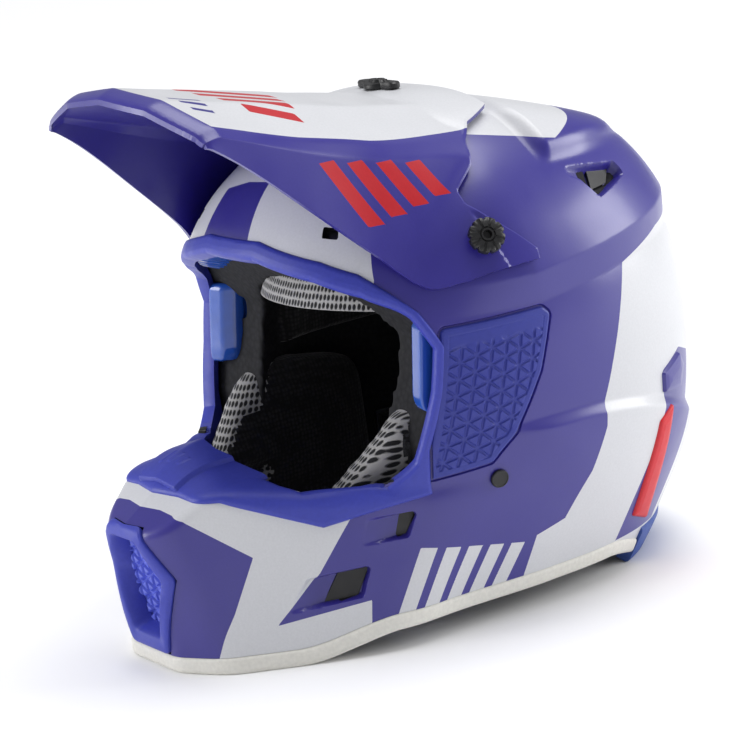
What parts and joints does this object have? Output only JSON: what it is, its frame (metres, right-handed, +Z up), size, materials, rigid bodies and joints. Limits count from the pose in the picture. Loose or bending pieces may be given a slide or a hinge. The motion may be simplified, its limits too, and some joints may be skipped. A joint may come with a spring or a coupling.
{
  "type": "motocross helmet",
  "caption": "Full-face off-road helmet with a long screwed-on peak, chin bar with mouth vent, foam liner, pull-out cheek pads and a ring-fastened chin strap.",
  "frame": {"origin": "middle of the helmet's box in X and Y, at the height of the base trim's underside, on which the helmet stands", "axes": "+Z up with the helmet standing level on its base, -Y the way the wearer faces, +X the wearer's left"},
  "size_m": [0.2464, 0.3342, 0.289],
  "materials": {
    "shell_paint": "satin lacquer over a moulded shell, blue-violet with white and red fields",
    "visor_plastic": "moulded and painted, satin",
    "trim_rubber": "soft blue rubber, matt",
    "base_edge": "off-white rubber edge",
    "black_plastic": "moulded, fine grain",
    "blue_plastic": "glossy moulded",
    "red_plastic": "satin moulded",
    "foam": "bead foam with a moulded skin",
    "lining": "grey spacer mesh and brushed knit over foam",
    "webbing": "woven strap",
    "steel": "satin"
  },
  "bodies": {
    "helmet": {"outer_shell": "shell_paint", "eyeport_trim": "trim_rubber", "base_trim": "base_edge", "rear_trim": "trim_rubber", "nose_guard": "trim_rubber", "side_panel_left": "trim_rubber", "side_panel_right": "trim_rubber", "mouth_vent_frame": "trim_rubber", "mouth_vent_grille": "trim_rubber", "chin_vent_mesh_upper_left": "black_plastic", "chin_vent_mesh_upper_right": "black_plastic", "chin_vent_mesh_lower_left": "black_plastic", "chin_vent_mesh_lower_right": "black_plastic", "brow_vent_mesh_left": "black_plastic", "brow_vent_mesh_right": "black_plastic", "rear_vent_mesh_left": "black_plastic", "rear_vent_mesh_right": "black_plastic", "rear_insert_left": "red_plastic", "rear_insert_right": "red_plastic", "brow_duct": "blue_plastic", "temple_block_left": "blue_plastic", "temple_block_right": "blue_plastic", "side_plug_left": "black_plastic", "side_plug_right": "black_plastic", "foam_liner": "foam", "chin_foam": "foam", "crown_liner": "lining", "brow_pad": "lining", "neck_roll": "lining", "strap_anchor_left": "steel", "strap_anchor_right": "steel", "visor_nut_left": "steel", "visor_nut_right": "steel"},
    "visor": {"visor": "visor_plastic", "visor_nut_top": "steel"},
    "screw_left": {"visor_screw_left": "black_plastic"},
    "screw_right": {"visor_screw_right": "black_plastic"},
    "screw_top": {"visor_screw_top": "black_plastic"},
    "cheek_left": {"cheek_pad_left": "lining"},
    "cheek_right": {"cheek_pad_right": "lining"},
    "strap": {"chin_strap_left": "webbing", "chin_strap_right": "webbing", "strap_ring_lower": "steel", "strap_ring_upper": "steel", "strap_snap": "black_plastic"}
  },
  "joints": [
    {"name": "visor_tilt", "type": "hinge", "parent": "helmet", "child": "visor", "pos_m": [0, -0.0125, 0.198], "axis": [1, 0, 0], "range_deg": [-2.5, 4]},
    {"name": "screw_left_turn", "type": "hinge", "parent": "helmet", "child": "screw_left", "pos_m": [0.10663, -0.01085, 0.196], "axis": [0.8446, -0.3358, 0.4169], "continuous": true},
    {"name": "screw_right_turn", "type": "hinge", "parent": "helmet", "child": "screw_right", "pos_m": [-0.10663, -0.01085, 0.196], "axis": [-0.8446, -0.3358, 0.4169], "continuous": true},
    {"name": "screw_top_turn", "type": "hinge", "parent": "visor", "child": "screw_top", "pos_m": [0, 0.01515, 0.262], "axis": [0, 0, 1], "continuous": true},
    {"name": "cheek_left_pull", "type": "slide", "parent": "helmet", "child": "cheek_left", "axis": [0, 0, -1], "range_m": [0, 0.075]},
    {"name": "cheek_right_pull", "type": "slide", "parent": "helmet", "child": "cheek_right", "axis": [0, 0, -1], "range_m": [0, 0.075]},
    {"name": "strap_swing", "type": "hinge", "parent": "helmet", "child": "strap", "pos_m": [0, 0.05615, 0.058], "axis": [1, 0, 0], "range_deg": [-8, 30]}
  ]
}
